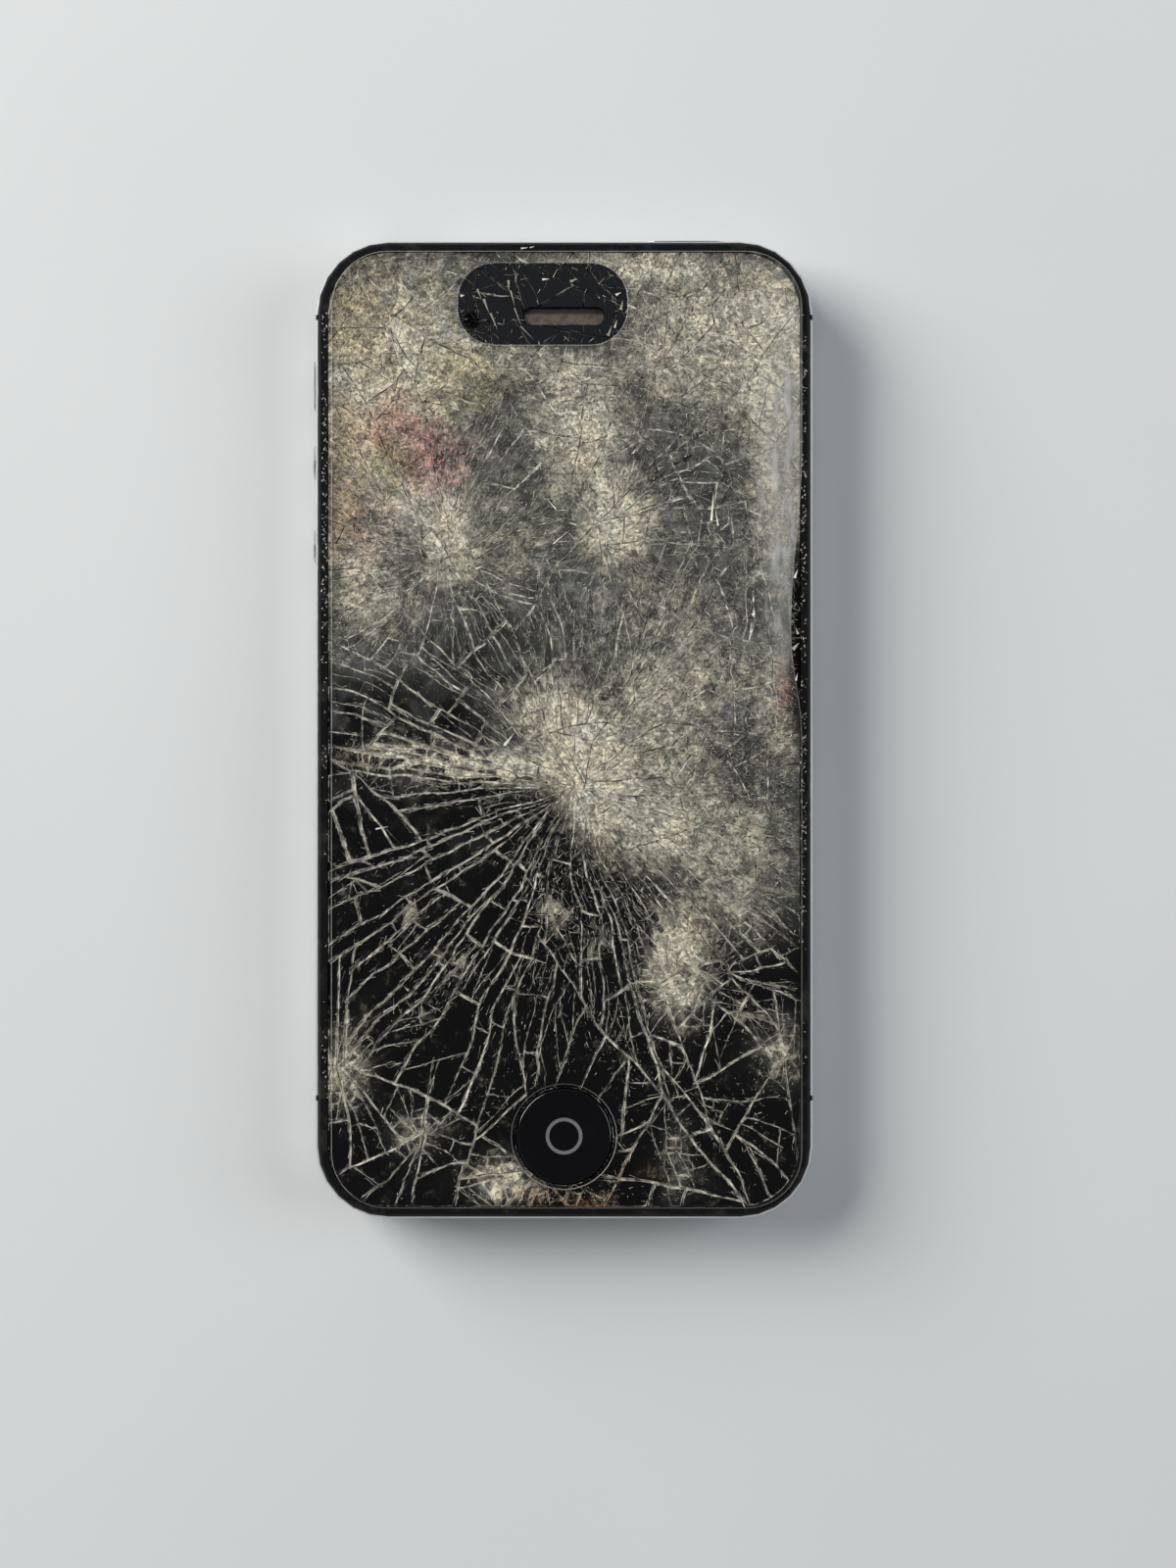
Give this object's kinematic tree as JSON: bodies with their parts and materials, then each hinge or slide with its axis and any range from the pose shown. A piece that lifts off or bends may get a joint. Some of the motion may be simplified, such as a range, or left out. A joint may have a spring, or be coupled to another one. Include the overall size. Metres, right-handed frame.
{
  "type": "shattered screen phone",
  "caption": "Slab phone with a steel band, side buttons and card tray; its front glass is shattered all over under a clear film with cut-outs.",
  "frame": {"origin": "on the rear glass, at the phone's centre", "axes": "+X right and +Y towards the earpiece as seen from the front, +Z out of the screen"},
  "size_m": [0.0591, 0.1157, 0.0097],
  "materials": {
    "front_glass": "shattered black glass, cream along the cracks",
    "film": "thin clear screen film, glossy, hazy over the crushed glass",
    "rear_glass": "polished black glass",
    "black_plastic": "fine black moulded plastic",
    "button_black": "glossy black plastic, faintly scuffed",
    "band_steel": "fine brushed steel with small scratches",
    "inner_steel": "plain pressed steel",
    "rubber": "matt rubber",
    "wire_mesh": "fine woven wire mesh",
    "dark_lens": "dark coated lens glass",
    "circuit": "circuit laminate",
    "foil": "black foil",
    "flex": "amber flexible circuit",
    "card_white": "white plastic",
    "flash": "pale yellow lamp window"
  },
  "bodies": {
    "housing": {"front_glass": "front_glass", "screen_film": "film", "front_bezel": "black_plastic", "display_panel": "rear_glass", "display_tray": "inner_steel", "home_button_gasket": "rubber", "home_button_switch": "flex", "earpiece_speaker": "foil", "earpiece_mesh": "wire_mesh", "front_camera": "dark_lens", "light_sensor": "dark_lens", "band_top": "band_steel", "band_bottom": "band_steel", "band_left": "band_steel", "band_right": "band_steel", "antenna_gap_top_left": "black_plastic", "antenna_gap_top_right": "black_plastic", "antenna_gap_bottom_left": "black_plastic", "antenna_gap_bottom_right": "black_plastic", "midplate": "inner_steel", "bottom_screw_left": "inner_steel", "bottom_screw_right": "inner_steel", "rear_glass": "rear_glass", "rear_frame": "black_plastic", "camera_ring": "band_steel", "camera_window": "dark_lens", "flash_window": "flash", "rear_camera": "foil", "flash_lamp": "card_white", "battery": "foil", "logic_board": "circuit", "shield_can_upper": "inner_steel", "shield_can_lower": "inner_steel", "sim_reader": "inner_steel", "dock_flex": "flex", "display_flex": "flex", "headphone_jack": "black_plastic", "noise_microphone": "foil", "dock_socket": "inner_steel", "dock_tongue": "black_plastic", "speaker_mesh": "wire_mesh", "microphone_mesh": "wire_mesh", "speaker_module": "black_plastic", "microphone": "foil", "vibrator": "inner_steel", "volume_switch": "flex", "mute_switch_body": "black_plastic", "power_switch": "flex"},
    "home_key": {"home_button": "button_black"},
    "volume_up_key": {"volume_up_button": "band_steel"},
    "volume_down_key": {"volume_down_button": "band_steel"},
    "power_key": {"power_button": "band_steel"},
    "mute_lever": {"mute_switch": "band_steel"},
    "card_drawer": {"sim_tray": "band_steel", "sim_card": "card_white"}
  },
  "joints": [
    {"name": "home_press", "type": "slide", "parent": "housing", "child": "home_key", "axis": [0, 0, -1], "range_m": [0, 0.00035], "stiffness_N_per_m": 500},
    {"name": "volume_up_press", "type": "slide", "parent": "housing", "child": "volume_up_key", "axis": [1, 0, 0], "range_m": [0, 0.0003], "stiffness_N_per_m": 500},
    {"name": "volume_down_press", "type": "slide", "parent": "housing", "child": "volume_down_key", "axis": [1, 0, 0], "range_m": [0, 0.0003], "stiffness_N_per_m": 500},
    {"name": "power_press", "type": "slide", "parent": "housing", "child": "power_key", "axis": [0, -1, 0], "range_m": [0, 0.0003], "stiffness_N_per_m": 500},
    {"name": "mute_slide", "type": "slide", "parent": "housing", "child": "mute_lever", "axis": [0, 0, 1], "range_m": [0, 0.001]},
    {"name": "tray_slide", "type": "slide", "parent": "housing", "child": "card_drawer", "axis": [1, 0, 0], "range_m": [0, 0.018]}
  ]
}
